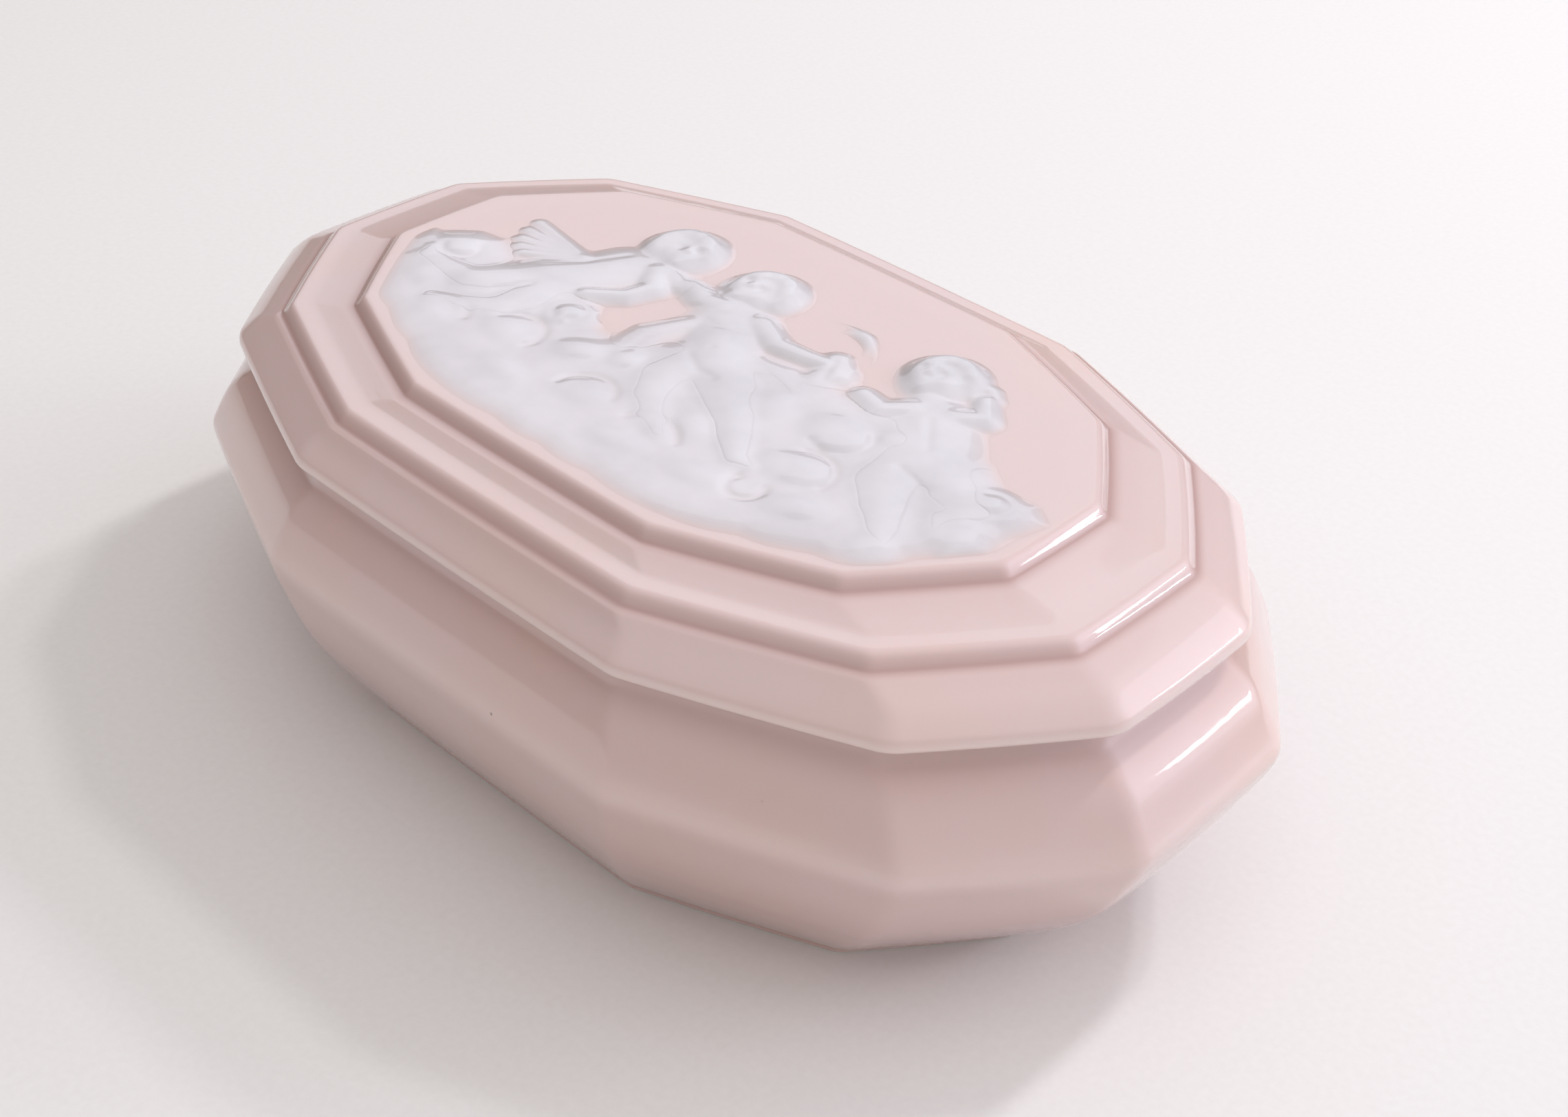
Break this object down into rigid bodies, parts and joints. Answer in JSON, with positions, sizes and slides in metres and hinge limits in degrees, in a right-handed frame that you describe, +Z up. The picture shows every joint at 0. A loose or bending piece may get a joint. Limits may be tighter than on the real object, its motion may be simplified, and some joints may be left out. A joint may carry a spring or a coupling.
{
  "type": "powder jar",
  "caption": "Oval faceted porcelain powder jar: a footed bowl and a stepped lift-off lid with a low white slip relief of figures on clouds.",
  "frame": {"origin": "under the middle of the foot ring, on the surface the jar stands on", "axes": "+Z up, X along the length of the oval, Y across it; the relief's figures have their heads towards +Y"},
  "size_m": [0.1624, 0.0988, 0.054],
  "materials": {
    "pink_glaze": "glossy clear glaze over a pale pink body",
    "white_slip": "glossy glaze over translucent white slip"
  },
  "bodies": {
    "bowl": {"bowl": "pink_glaze"},
    "lid": {"lid": "pink_glaze", "relief_clouds": "white_slip", "putto_reclining": "white_slip", "putto_leaning": "white_slip", "putto_kneeling": "white_slip"}
  },
  "joints": [
    {"name": "lid_lift", "type": "slide", "parent": "bowl", "child": "lid", "axis": [0, 0, 1], "range_m": [0, 0.06]}
  ]
}
